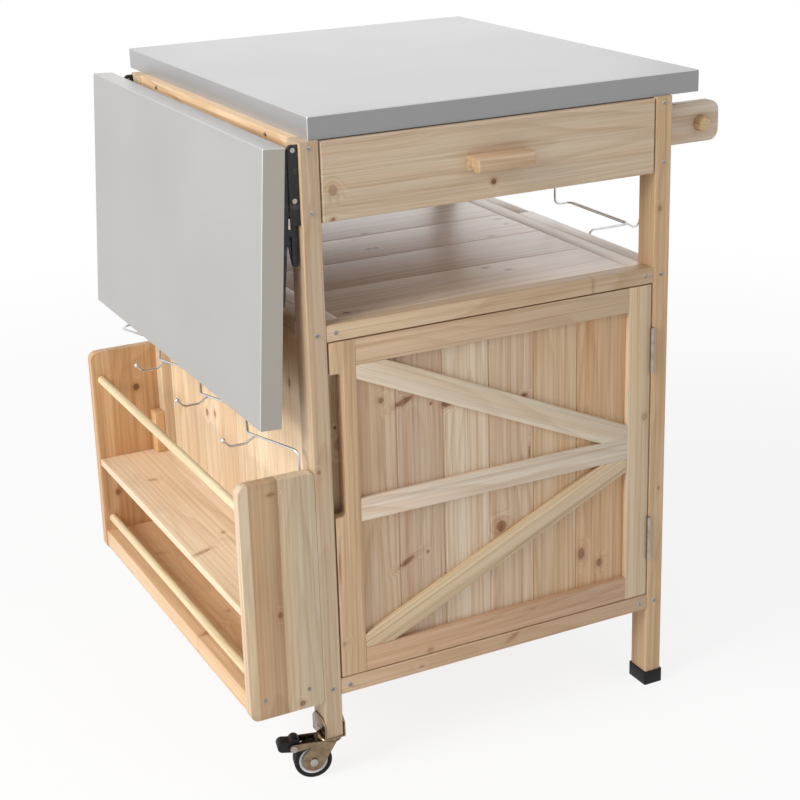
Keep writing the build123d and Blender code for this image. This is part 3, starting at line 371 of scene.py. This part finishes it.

# Open shelf
# Five pine boards laid side by side on ledgers, closed by a strip at each end, with rails all round.
# The boards are greyer and paler than the frame, a tone raised near white as painted light for the shade under
# the drawer, and lacquered, so they mirror the light from behind.
low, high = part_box("shelf_boards")
board_width, strip_from = 0.1112, 0.2103
shelf_pine = pine(
    "shelf pine", "XYZ", [(244, 229, 216), (236, 217, 202), (244, 227, 213), (233, 213, 198), (242, 227, 215)],
    seed=31.0, centre=(0.0, 0.61), boards=("Y", [low.y + board_width * number for number in range(5)]),
    pith=(0.03, 0.03), ring=0.0056, tilt=0.004, contrast=0.7, rough=0.5, coat=1.0,
    knots=((-0.009, 0.0561, 0.006, 0.004, 0.0, 1.0), (-0.0401, -0.0226, 0.006, 0.004, 0.1, 1.0),
           (-0.030, -0.0225, 0.004, 0.004, 0.0, 1.0), (0.193, 0.0256, 0.006, 0.004, 0.0, 1.0),
           (0.190, -0.0065, 0.005, 0.0035, 0.0, 1.0), (0.1373, -0.0546, 0.007, 0.004, 0.0, 1.0),
           (0.0499, -0.1908, 0.007, 0.0045, 0.0, 1.0), (0.0708, -0.2157, 0.006, 0.0035, 0.0, 1.0),
           (-0.1928, -0.2727, 0.005, 0.0035, 0.0, 1.0)))
strip_pine = pine("shelf strip pine", "YXZ", [(238, 226, 210), (235, 221, 205)], seed=32.0, centre=(0.0, 0.61),
                  boards=("X", (-0.236, 0.0)), contrast=0.45, rough=0.5, coat=1.0)
dress(eased("shelf_boards", "frame", width=0.0006), shelf_pine, strip_pine,
      second=lambda place, normal: abs(place.x) > strip_from)
dress(eased("shelf_rails", "frame"),
      pine("shelf rail pine", "XZY", [(222, 198, 168), (216, 190, 158)], seed=33.0, centre=(0.606, 0.0),
           boards=("Y", (front, 0.0)), pith=(0.02, 0.03), ring=0.0042, contrast=0.5,
           knots=((0.142, 0.607, 0.0016, 0.010, 0.0, 0.35),)))
# The right rail is toned paler than the left, a painted highlight of the glare on its top.
dress(eased("shelf_side_rails", "frame"),
      pine("shelf side rail pine", "YXZ", [(210, 196, 178), (233, 217, 198)], seed=34.0, centre=(0.0, 0.606),
           boards=("X", (-0.262, 0.0)), contrast=0.45, rough=0.4, coat=1.0))
dress(nodes["ledgers"], pine("ledger pine", "YZX", [(210, 182, 142)], seed=35.0, centre=(0.6, 0.22)))

# Cabinet carcass
# Bottom rails, floor, grooved wall boards and a grooved back, nailed to upright cleats in the corners.
# The left wall takes the most light and is the warmest wood on the cart.
side_rail_from = 0.2362
rail_front = pine("bottom rail pine", "XZY", [(218, 188, 158)], seed=41.0, centre=(0.13, front),
                  pith=(0.02, 0.03), ring=0.0044, contrast=0.42,
                  knots=((0.0183, 0.1339, 0.010, 0.0035, 0.5, 0.45), (-0.12, 0.128, 0.004, 0.002, 0.0, 0.4)))
rail_side = pine("bottom side rail pine", "YZX", [(216, 184, 144)], seed=42.0, centre=(0.13, 0.25))
dress(eased("bottom_rails", "frame"), rail_front, rail_side,
      second=lambda place, normal: abs(place.x) > side_rail_from)
dress(nodes["cabinet_floor"],
      pine("cabinet floor pine", "XYZ", [(214, 186, 148), (206, 178, 140), (218, 190, 150)], seed=43.0,
           centre=(0.0, 0.136), boards=("Y", (-0.29, -0.1, 0.1))))
low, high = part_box("side_walls")
wall_board = 0.066
wall_tones = [(236, 218, 191), (229, 208, 178), (238, 221, 194), (231, 211, 182), (226, 202, 172),
              (236, 218, 191), (229, 209, 180), (234, 216, 188)]
dress(nodes["side_walls"],
      pine("wall board pine", "ZYX", wall_tones, seed=44.0, centre=(0.0, 0.24),
           boards=("Y", [low.y + wall_board * number for number in range(8)]), ring=0.005, contrast=0.4,
           knots=((0.3739, 0.1077, 0.006, 0.005, 0.0, 0.8), (0.3818, 0.0756, 0.005, 0.004, 0.0, 0.8),
                  (0.5151, -0.2052, 0.006, 0.0045, 0.2, 0.7), (0.192, 0.1728, 0.005, 0.005, 0.0, 0.85))))
dress(nodes["back_panel"],
      pine("back board pine", "ZXY", wall_tones[:7], seed=45.0, centre=(0.0, 0.28),
           boards=("X", [-0.236 + wall_board * number for number in range(7)]), ring=0.005,
           knots=((0.42, -0.09, 0.008, 0.007, 0.0, 0.9), (0.25, 0.12, 0.006, 0.005, 0.0, 0.85),
                  (0.53, 0.05, 0.005, 0.004, 0.0, 0.8), (0.20, -0.18, 0.006, 0.005, 0.0, 0.7))))
# The cleats are toned paler than their wood as painted light, for where they show in shade through the door's
# finger notch.
dress(nodes["corner_cleats"],
      pine("corner cleat pine", "ZXY", [(255, 232, 198)], seed=46.0, centre=(-0.22, front + 0.034),
           pith=(0.02, 0.03),
           knots=((0.4516, -0.2137, 0.0085, 0.0075, 0.0, 0.30), (0.475, -0.219, 0.0022, 0.0016, 0.0, 0.9))))

# Door
# A pine frame with a middle rail and two slanting braces laid over upright grooved boards.
# The left stile has a long round-ended notch for the fingers; the frame pieces differ in tone.
low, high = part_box("door_boards")
groove_starts = [low.x, -0.143, -0.0765, -0.010, 0.0565, 0.123]
door_tones = [(221, 196, 167), (216, 192, 170), (234, 217, 195), (226, 202, 177), (223, 197, 166),
              (221, 187, 152)]
dress(nodes["door_boards"],
      pine("door board pine", "ZXY", door_tones, seed=51.0, centre=(0.0, front + 0.0115),
           boards=("X", groove_starts), pith=(0.05, 0.02), ring=0.0058, tilt=0.010, contrast=0.5,
           knots=((0.5062, -0.1637, 0.0042, 0.0038, 0.0, 0.75), (0.4990, -0.1320, 0.0042, 0.0135, -0.35, 0.8),
                  (0.4888, -0.0941, 0.0022, 0.002, 0.0, 0.8), (0.4842, -0.0710, 0.005, 0.007, 0.0, 0.85),
                  (0.4738, 0.0429, 0.003, 0.005, 0.0, 0.85), (0.3940, 0.0499, 0.010, 0.0014, 0.0, 0.8),
                  (0.2973, 0.0067, 0.0088, 0.0080, 0.0, 0.9), (0.2803, -0.1330, 0.0036, 0.0125, -0.5, 0.8),
                  (0.2867, -0.1031, 0.0024, 0.002, 0.0, 0.75), (0.2270, 0.1314, 0.0095, 0.0055, 0.0, 0.6),
                  (0.2073, 0.1607, 0.0062, 0.0056, 0.0, 0.65))))
dress(eased("door_stiles", "door"),
      pine("door stile pine", "ZXY", [(225, 196, 161), (223, 205, 177)], seed=52.0, centre=(0.0, front + 0.008),
           boards=("X", (-0.234, 0.0)), pith=(0.02, 0.03), ring=0.0046, tilt=0.01, contrast=0.42,
           knots=((0.4101, 0.2265, 0.0065, 0.0045, 0.0, 0.35), (0.2979, -0.2315, 0.024, 0.0012, 0.02, 0.7),
                  (0.190, -0.2285, 0.003, 0.005, 0.0, 0.25))))
dress(eased("door_rails", "door"),
      pine("door rail pine", "XZY", [(214, 179, 150), (234, 221, 206), (216, 190, 161)], seed=53.0,
           centre=(0.0, front + 0.008), boards=("Z", (0.14, 0.3, 0.5)), pith=(0.02, 0.03), ring=0.0040,
           contrast=0.42,
           knots=((-0.1065, 0.1482, 0.0050, 0.0042, 0.0, 0.35), (0.050, 0.168, 0.006, 0.002, 0.0, 0.25))))
brace_rise, brace_run, middle_rail = 0.1765, 0.398, 0.369
brace_slope = atan2(brace_rise, brace_run)
upper_brace = pine("upper brace pine", "XZY", [(230, 216, 196)], seed=54.0, centre=(0.43, front),
                   slope=-brace_slope, pith=(0.02, 0.03), ring=0.0046, contrast=0.35)
lower_brace = pine("lower brace pine", "XZY", [(226, 205, 174)], seed=55.0, centre=(0.24, front),
                   slope=brace_slope, pith=(0.004, 0.02), ring=0.0022, tilt=0.004, contrast=0.5)
dress(eased("door_braces", "door"), upper_brace, lower_brace,
      second=lambda place, normal: place.z < middle_rail)

# Door hinges, catch and strike
# Two stamped butt hinges with rolled knuckles on a loose pin, screwed to the right stile and leg,
# and a magnetic catch on the left cleat that holds a small strike plate on the door.


def plated(name, colour, rough, stain=(150, 138, 120), spread=0.35):
    """Bright plating: cloudy, with a faint warm bloom from spread on, and fine scratches."""
    material, add, spot = finish_of(name)
    bloom = noise(add, spot, 4.0, 0.6, scale=120.0)
    scratches = noise(add, add("VectorMath", spot, (900.0, 900.0, 60.0), operation="MULTIPLY"), 2.0, 0.5)
    tint = steps(add, bloom, ((spread, tone(*colour)), (spread + 0.4, tone(*stain))))
    skin = add("MapRange", scratches, 0.2, 0.8, rough - 0.08, rough + 0.12)
    look = {"Base Color": tint, "Metallic": 1.0, "Roughness": skin}
    surface(add, look, scratches, strength=0.08, depth=0.0001)
    return material


zinc = plated("zinc plate", (176, 172, 166), rough=0.34)
for fitting in ("hinge_leg_leaves", "hinge_door_leaves", "hinge_pins", "strike_plate"):
    dress(nodes[fitting], zinc)
dress(eased("magnetic_catch", "frame"), black_plastic)

# Bottle rack
# Two end panels glued from pine strips, two shelves between them, round front rails and small cleats.
# The end panels have rounded outer corners; the rack is screwed to the two left legs.
near_panel = pine("near rack panel pine", "ZXY", [(220, 201, 174), (200, 170, 138), (225, 208, 181)], seed=61.0,
                  centre=(0.0, front + 0.0075), boards=("X", (-0.362, -0.349, -0.310)), pith=(0.02, 0.02),
                  ring=0.0075, tilt=0.022, contrast=0.4,
                  knots=((0.4169, -0.3188, 0.0024, 0.0052, 0.0, 0.6),
                         (0.2531, -0.3150, 0.0048, 0.0032, 0.0, 0.8),
                         (0.1227, -0.2906, 0.0042, 0.0042, 0.0, 0.75)))
far_panel = pine("far rack panel pine", "ZXY", [(216, 180, 140), (210, 172, 131), (218, 182, 142)], seed=62.0,
                 centre=(0.0, 0.284), boards=("X", (-0.362, -0.335, -0.298)), pith=(0.02, 0.025),
                 ring=0.006, tilt=0.02, contrast=0.45,
                 knots=((0.3697, -0.2954, 0.0058, 0.005, 0.0, 0.85), (0.2064, -0.3369, 0.005, 0.004, 0.0, 0.85),
                        (0.307, -0.268, 0.0025, 0.006, 0.0, 0.5)))
dress(eased("rack_panels", "frame", width=0.0014), near_panel, far_panel,
      second=lambda place, normal: place.y > 0)
dress(eased("rack_shelves", "frame", width=0.0010),
      pine("rack shelf pine", "YXZ", [(236, 204, 168), (247, 228, 203)], seed=63.0, centre=(-0.31, 0.0),
           boards=("Z", (0.11, 0.2)), pith=(0.03, 0.03), ring=0.0056, tilt=0.006, contrast=0.45,
           knots=((-0.1112, -0.3427, 0.0042, 0.0150, -0.38, 0.5), (0.1586, -0.3173, 0.004, 0.008, 0.3, 0.35),
                  (-0.0663, -0.2956, 0.005, 0.003, 0.4, 0.4))))
dress(nodes["rack_dowels"],
      pine("rack dowel wood", "YXZ", [(236, 220, 184)], seed=64.0, centre=(-0.348, 0.0), pith=(0.003, 0.01),
           ring=0.0030, contrast=0.35, rough=0.5))
dress(eased("rack_cleats", "frame", width=0.0010),
      pine("rack cleat pine", "ZXY", [(226, 190, 146)], seed=65.0, centre=(-0.268, 0.0)))

# Wire rails and clips
# A zigzag hook rail over the rack and a bag rail on the right, bent from bright steel wire
# with rounded tips, and held to the wood by small saddle clips.
wire_finish = plated("bright wire", (216, 215, 214), rough=0.3, stain=(190, 187, 184), spread=0.44)
for rail in ("hook_rail", "bag_rail"):
    dress(nodes[rail], wire_finish)
dress(eased("wire_clips", "frame", width=0.0006), zinc)

# Towel bar
# A loose round bar of turned wood in two rounded brackets on the right apron.
# The bar turns in its holes, and its ends are chamfered.
dress(eased("towel_brackets", "frame", width=0.0012),
      pine("towel bracket pine", "XZY", [(246, 235, 223), (236, 219, 200)], seed=71.0, centre=(0.795, 0.0),
           boards=("Y", (front, 0.0)), pith=(0.02, 0.03), ring=0.0056, contrast=0.5))
dress(nodes["towel_bar"],
      pine("towel bar wood", "YXZ", [(232, 205, 160)], seed=72.0, centre=(0.332, 0.793), pith=(0.004, 0.02),
           ring=0.0034, contrast=0.45))

# Drop leaf
# The same build as the worktop, a steel sheet folded over a board core, hung on two folding brackets.
# The sheet is brushed from front to rear, and its face and folded edges are a little warmer; the folded edges
# are painted darker as shade.
dress(nodes["leaf_core"], core_board)
dress(nodes["leaf_sheet"],
      brushed_sheet("brushed leaf sheet", "Y", (194, 192, 190), painted_shade_colour=(171, 165, 156), rough=0.42))

# Folding brackets
# Stamped steel angles, one on the leg and one under the leaf, riveted at the hinge line and joined by
# a two-link brace that folds at its knee. All of it is coated black.


def coated(name, colour, rough):
    """Powder-coated steel: even, with a fine orange-peel skin, worn to grey where it rubs."""
    material, add, spot = finish_of(name)
    peel = noise(add, spot, 1.0, 0.4, scale=1100.0)
    worn = noise(add, spot, 4.0, 0.65, scale=70.0)
    tint = steps(add, worn, ((0.55, tone(*colour)), (0.82, tone(92, 90, 88))))
    skin = add("MapRange", peel, 0.3, 0.7, rough - 0.06, rough + 0.08)
    look = {"Base Color": tint, "Metallic": 0.2, "Roughness": skin}
    surface(add, look, peel, strength=0.2, depth=0.0001)
    return material


black_steel = coated("black coated steel", (24, 24, 25), rough=0.42)
for stamping, body in (("bracket_wall_arms", "frame"), ("bracket_leaf_arms", "leaf"),
                       ("brace_lower_links", "brace_lower"), ("brace_upper_links", "brace_upper")):
    dress(eased(stamping, body, width=0.0004), black_steel)

# Casters
# Swivel casters under the left legs: a plated channel screwed round the leg, a pressed fork on a
# ball race, a rubber tyre on a grey hub, and a black foot pedal that brakes the wheel.
# The plating is tinted brown, a painted reflection of the wood around it.
caster_steel = plated("caster plate", (142, 123, 101), rough=0.2, stain=(100, 82, 64), spread=0.4)
rubber = moulded("black tyre rubber", (15, 14, 14), rough=0.62)
grey_hub = moulded("grey hub plastic", (214, 213, 210), rough=0.4)
dress(eased("caster_mounts", "frame", width=0.0005), caster_steel)
for place in ("front", "rear"):
    dress(eased("caster_fork_" + place, "fork_" + place, width=0.0005), caster_steel)
    dress(eased("brake_pedal_" + place, "brake_" + place, width=0.0012), black_plastic)
    dress(eased("caster_bolts_" + place, "fork_" + place, width=0.0005), zinc)
    dress(eased("tyre_" + place, "wheel_" + place, width=0.0009, segments=3, sharper=20.0), rubber)
    dress(eased("wheel_hub_" + place, "wheel_" + place, width=0.0005), grey_hub)

# Screws
# Plated countersunk screws with a cross recess, driven through the legs, rails, rack panels, caster
# mounts and left apron. The heads stand a hair proud, and each was left at its own angle.


def screw_heads(name, places, finish):
    """Screw heads, each a domed disc with a cross cut, set on (point, outward direction) places."""
    tree = bpy.data.node_groups.new(name, "GeometryNodeTree")
    tree.interface.new_socket("Geometry", in_out="INPUT", socket_type="NodeSocketGeometry")
    for label, value in (("Head radius", 0.0032), ("Head height", 0.0009), ("Slot width", 0.0008),
                         ("Slot depth", 0.0006)):
        tree.interface.new_socket(label, in_out="INPUT", socket_type="NodeSocketFloat").default_value = value
    finish_socket = tree.interface.new_socket("Finish", in_out="INPUT", socket_type="NodeSocketMaterial")
    tree.interface.new_socket("Geometry", in_out="OUTPUT", socket_type="NodeSocketGeometry")

    add = adder(tree, "")
    given = add("NodeGroupInput").node.outputs
    radius, height, slot_width = given["Head radius"], given["Head height"], given["Slot width"]
    ball = add("GeometryNodeMeshUVSphere", {"Segments": 24, "Rings": 12, "Radius": 1.0})
    dome_size = add("ShaderNodeCombineXYZ", radius, radius, height)
    dome = add("GeometryNodeTransform", {"Geometry": ball, "Scale": dome_size})

    slot_length = add("ShaderNodeMath", radius, 1.25, operation="MULTIPLY")
    slot_height = add("ShaderNodeMath", height, 2.0, operation="MULTIPLY")
    lift = add("ShaderNodeMath", slot_height, given["Slot depth"], operation="SUBTRACT")
    raised = add("ShaderNodeCombineXYZ", {2: lift})
    cross = add("GeometryNodeJoinGeometry")
    for long_side, short_side in ((slot_length, slot_width), (slot_width, slot_length)):
        size = add("ShaderNodeCombineXYZ", long_side, short_side, slot_height)
        bar = add("GeometryNodeMeshCube", {"Size": size})
        tree.links.new(add("GeometryNodeTransform", {"Geometry": bar, "Translation": raised}),
                       cross.node.inputs[0])
    head = add("GeometryNodeMeshBoolean", {"Mesh 1": dome, "Mesh 2": cross}, operation="DIFFERENCE")

    spin = add("FunctionNodeRandomValue", {2: 0.0, 3: pi, "Seed": 7}, out=1, data_type="FLOAT")
    driven = add("FunctionNodeEulerToRotation", add("ShaderNodeCombineXYZ", {2: spin}))
    facing = add("GeometryNodeInputNamedAttribute", {"Name": "facing"}, data_type="FLOAT_VECTOR")
    turned = add("FunctionNodeAlignRotationToVector", {"Rotation": driven, "Vector": facing}, axis="Z")
    placed = add("GeometryNodeInstanceOnPoints", {"Points": given["Geometry"], "Instance": head,
                                                  "Rotation": turned})
    whole = add("GeometryNodeRealizeInstances", placed)
    done = add("GeometryNodeSetMaterial", {"Geometry": whole, "Material": given["Finish"]})
    add("NodeGroupOutput", done)

    holder = bpy.data.meshes.new(name + "_points")
    holder.from_pydata([point for point, outward in places], [], [])
    facings = holder.attributes.new("facing", "FLOAT_VECTOR", "POINT")
    for number, (point, outward) in enumerate(places):
        facings.data[number].vector = outward
    piece = bpy.data.objects.new(name, holder)
    bpy.context.scene.collection.objects.link(piece)
    modifier = piece.modifiers.new("heads", "NODES")
    modifier.node_group = tree
    modifier[finish_socket.identifier] = finish
    made = bpy.data.meshes.new_from_object(piece.evaluated_get(bpy.context.evaluated_depsgraph_get()))
    piece.modifiers.clear()
    piece.data = made
    return piece


leg_middle, rail_end, panel_edges = 0.2485, 0.224, (-0.342, -0.281)
apron_heights, rail_heights, panel_height = (0.834, 0.757), (0.6067, 0.1305), 0.1405
rows = [(side * leg_middle, height) for side in (-1, 1) for height in apron_heights + rail_heights]
rows += [(side * rail_end, height) for side in (-1, 1) for height in rail_heights]
rows += [(across, panel_height) for across in panel_edges]
rear = front + 0.6
heads = [((across, depth, height), (0, way, 0))
         for across, height in rows for depth, way in ((front, -1), (rear, 1))]
ear_face, half_leg = -0.263, 0.018
ear_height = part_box("caster_mounts")[1].z - 0.015
heads += [((ear_face, depth, ear_height), (-1, 0, 0)) for depth in (front + half_leg, rear - half_leg)]
low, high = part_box("side_aprons")
strip_middle, strip_height, apart = (low.y + high.y) / 2, high.z - 0.007, 0.196
heads += [((low.x, strip_middle + offset, strip_height), (-1, 0, 0)) for offset in (-apart, apart)]
screw_finish = plated("screw plate", (168, 163, 158), rough=0.3, stain=(116, 108, 100), spread=0.45)
screws = screw_heads("frame_screw_heads", heads, screw_finish)
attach(screws, "frame")
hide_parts("frame_screws")

# Studio
# A pale floor that fades into a white backdrop, one broad soft lamp from the left and above,
# weaker ones from the front and from behind, and an even white room around.


def looked_at(add):
    """1 where a ray comes from the eye, also by way of a mirror or glass, and 0 where it only lights."""
    rays = add("LightPath").node.outputs
    seen = rays["Is Camera Ray"]
    for kind in ("Is Glossy Ray", "Is Transmission Ray"):
        seen = add("Math", seen, rays[kind], operation="MAXIMUM")
    return seen


reach, below = 9, -0.0003
corners = [(-reach, -reach, below), (reach, -reach, below), (reach, reach, below), (-reach, reach, below)]
floor_mesh = bpy.data.meshes.new("studio_floor")
floor_mesh.from_pydata(corners, [], [(0, 1, 2, 3)])
floor = bpy.data.objects.new("studio_floor", floor_mesh)
bpy.context.scene.collection.objects.link(floor)
floor_finish, add, spot = finish_of("pale floor")
matt = add("BsdfDiffuse", {"Color": tone(250, 250, 250)})
glow = add("Emission", {"Color": grey(1.0), "Strength": 1.0})
distance = add("VectorMath", spot, out="Value", operation="LENGTH")
fade_from, fade_to, glow_near, glow_far = 0.7, 2.6, 0.84, 1.0
fade = add("MapRange", distance, fade_from, fade_to, glow_near, glow_far, interpolation_type="SMOOTHSTEP")
add("OutputMaterial", add("MixShader", add("Math", looked_at(add), fade, operation="MULTIPLY"), matt, glow))
floor_mesh.materials.append(floor_finish)

world = bpy.data.worlds.new("white room")
bpy.context.scene.world = world
world.use_nodes = True
world.node_tree.nodes.clear()
add = adder(world.node_tree, "ShaderNode")
dim_air = add("Background", {"Color": (0.94, 0.98, 1.0, 1.0), "Strength": 0.35})
white_wall = add("Background", {"Color": grey(1.0), "Strength": 1.0})
add("OutputWorld", add("MixShader", looked_at(add), dim_air, white_wall))


def lamp(name, place, target, size, power, colour):
    """A square soft box aimed at a point."""
    data = bpy.data.lights.new(name, "AREA")
    data.shape = "SQUARE"
    data.size = size
    data.energy = power
    data.color = colour
    made = bpy.data.objects.new(name, data)
    bpy.context.scene.collection.objects.link(made)
    made.location = place
    made.rotation_mode = "QUATERNION"
    made.rotation_quaternion = (Vector(target) - Vector(place)).to_track_quat("-Z", "Y")


lamp("soft_box_left", place=(-3.4, -0.7, 2.3), target=(0.0, 0.0, 0.4), size=2.2, power=142.0,
     colour=(1.0, 0.985, 0.965))
lamp("soft_box_front", place=(1.2, -3.2, 2.4), target=(0.0, 0.0, 0.45), size=2.0, power=15.0,
     colour=(0.96, 0.98, 1.0))
lamp("soft_box_rear", place=(1.5, 3.0, 1.25), target=(0.0, 0.0, 0.6), size=1.8, power=8.0,
     colour=(1.0, 0.99, 0.98))

# Camera
# The photographer stood left of the cart's front corner and looked a little down,
# with a longer lens, so the upright edges lean in only slightly.
stand = Vector((-1.02547, front - 1.77732, 1.24136))
yaw, pitch, roll = radians(-26.5302), radians(18.2107), radians(-1.6392)
focal_pixels, picture_pixels = 1707.945, 800
ahead = Vector((-sin(yaw) * cos(pitch), cos(yaw) * cos(pitch), -sin(pitch)))
right = ahead.cross(Vector((0, 0, 1))).normalized()
above = right.cross(ahead)
side_axis = right * cos(roll) + above * sin(roll)
up_axis = above * cos(roll) - right * sin(roll)
lens = bpy.data.cameras.new("camera")
lens.sensor_width = 36.0
lens.lens = focal_pixels / picture_pixels * lens.sensor_width
lens.shift_y = -0.08
camera = bpy.data.objects.new("camera", lens)
bpy.context.scene.collection.objects.link(camera)
camera.matrix_world = Matrix.Translation(stand) @ Matrix((side_axis, up_axis, -ahead)).transposed().to_4x4()
bpy.context.scene.camera = camera
bpy.context.scene.view_settings.view_transform = "Standard"
